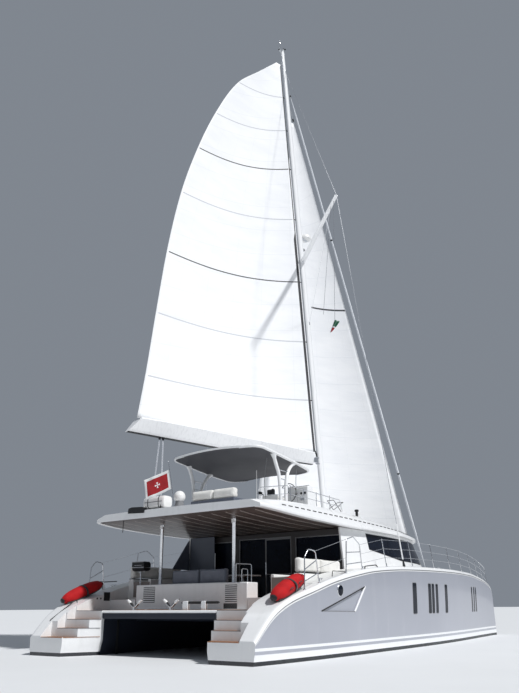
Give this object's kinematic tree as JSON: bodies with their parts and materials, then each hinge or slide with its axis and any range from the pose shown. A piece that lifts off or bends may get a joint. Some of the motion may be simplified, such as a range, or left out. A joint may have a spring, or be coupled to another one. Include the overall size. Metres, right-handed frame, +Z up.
{
  "type": "sailing catamaran",
  "caption": "Large cruising catamaran under sail, with twin hulls, saloon, flybridge under a sunshade top, raked mast, mainsail and genoa.",
  "frame": {"origin": "on the centreline, amidships, at the waterline", "axes": "+X to starboard, +Y to the bow, +Z up"},
  "size_m": [9.24, 22.4, 30.35],
  "materials": {
    "hull_silver": "metallic silver topside paint over white and black boot stripes",
    "antifoul": "matt dark underwater paint",
    "bronze": "turned and polished",
    "white_gelcoat": "smooth white gelcoat",
    "tinted_glass": "dark tinted, polished",
    "white_spar": "white painted carbon fibre spar",
    "silver_spar": "silver painted beam",
    "steel": "polished stainless",
    "sailcloth": "woven white sailcloth",
    "net": "open net",
    "grey_cushion": "woven",
    "white_cushion": "woven",
    "black_fitting": "satin black",
    "red_cloth": "woven red cloth"
  },
  "bodies": {
    "boat": {"aft_bulkhead": "white_gelcoat", "bimini_pillar_port": "white_gelcoat", "bimini_pillar_starboard": "white_gelcoat", "bimini_top": "white_gelcoat", "bowsprit": "silver_spar", "bridgedeck": "white_gelcoat", "bulkhead_glass": "tinted_glass", "cap_shroud_port": "steel", "cap_shroud_starboard": "steel", "cockpit_lounge_port": "white_gelcoat", "cockpit_lounge_starboard": "white_gelcoat", "cockpit_sofa": "grey_cushion", "cockpit_table": "white_gelcoat", "crossbeam": "hull_silver", "ensign": "red_cloth", "ensign_staff": "steel", "flybridge_cushions": "white_cushion", "flybridge_rail_port": "steel", "flybridge_rail_starboard": "steel", "flybridge_sofa": "white_gelcoat", "forestay_furler": "steel", "furled_code_sail": "sailcloth", "genoa": "sailcloth", "grill": "black_fitting", "guard_rail_port": "steel", "guard_rail_starboard": "steel", "hardtop": "white_gelcoat", "helm_console": "white_gelcoat", "helm_seat": "black_fitting", "house_shell": "white_gelcoat", "hull_port": "hull_silver", "hull_starboard": "hull_silver", "liferaft_case": "white_gelcoat", "mast": "white_spar", "mast_radar": "white_gelcoat", "quarter_bag_port": "red_cloth", "quarter_bag_starboard": "red_cloth", "roof_post_port": "steel", "roof_post_starboard": "steel", "saloon_glass": "tinted_glass", "satellite_dome": "white_gelcoat", "shaft_casing_port": "bronze", "shaft_casing_starboard": "bronze", "trampoline_port": "net", "trampoline_starboard": "net", "transom_locker": "white_gelcoat"},
    "boom": {"boom": "white_spar", "mainsail": "sailcloth"},
    "rudder_starboard": {"rudder_starboard": "antifoul"},
    "rudder_port": {"rudder_port": "antifoul"},
    "helm_wheel": {"helm_wheel": "black_fitting"},
    "propeller_starboard": {"propeller_starboard": "bronze"},
    "propeller_port": {"propeller_port": "bronze"},
    "saloon_door": {"saloon_door": "tinted_glass"},
    "tender_platform": {"tender_platform": "white_gelcoat", "dinghy_chocks": "steel"},
    "foredeck_hatch_starboard": {"foredeck_hatch_starboard": "white_gelcoat"},
    "foredeck_hatch_port": {"foredeck_hatch_port": "white_gelcoat"}
  },
  "joints": [
    {"name": "boom_swing", "type": "hinge", "parent": "boat", "child": "boom", "pos_m": [0, 0.09254, 7.25], "axis": [0, -0.1057, 0.9944], "range_deg": [-22, 48]},
    {"name": "rudder_turn_starboard", "type": "hinge", "parent": "boat", "child": "rudder_starboard", "pos_m": [3.36, -9.4, -0.8], "axis": [0, 0, 1], "range_deg": [-35, 35]},
    {"name": "rudder_turn_port", "type": "hinge", "parent": "boat", "child": "rudder_port", "pos_m": [-3.36, -9.4, -0.8], "axis": [0, 0, 1], "range_deg": [-35, 35]},
    {"name": "wheel_turn", "type": "hinge", "parent": "boat", "child": "helm_wheel", "pos_m": [1.48, -4.56, 5.15], "axis": [0, 1, 0], "range_deg": [-350, 350]},
    {"name": "propeller_turn_starboard", "type": "hinge", "parent": "boat", "child": "propeller_starboard", "pos_m": [3.42, -8.35, -0.8], "axis": [0, 0.9903, 0.1392], "continuous": true},
    {"name": "propeller_turn_port", "type": "hinge", "parent": "boat", "child": "propeller_port", "pos_m": [-3.42, -8.35, -0.8], "axis": [0, 0.9903, 0.1392], "continuous": true},
    {"name": "door_slide", "type": "slide", "parent": "boat", "child": "saloon_door", "axis": [-1, 0, 0], "range_m": [0, 1.08]},
    {"name": "platform_lift", "type": "slide", "parent": "boat", "child": "tender_platform", "axis": [0, 0, -1], "range_m": [0, 1.25]},
    {"name": "hatch_starboard_lift", "type": "hinge", "parent": "boat", "child": "foredeck_hatch_starboard", "pos_m": [1.15, 5.9, 2.6203], "axis": [1, 0, 0], "range_deg": [0, 80]},
    {"name": "hatch_port_lift", "type": "hinge", "parent": "boat", "child": "foredeck_hatch_port", "pos_m": [-1.15, 5.9, 2.6203], "axis": [1, 0, 0], "range_deg": [0, 80]}
  ],
  "couplings": [
    {"joint": "rudder_turn_port", "follows": "rudder_turn_starboard", "ratio": 1},
    {"joint": "wheel_turn", "follows": "rudder_turn_starboard", "ratio": -10}
  ]
}
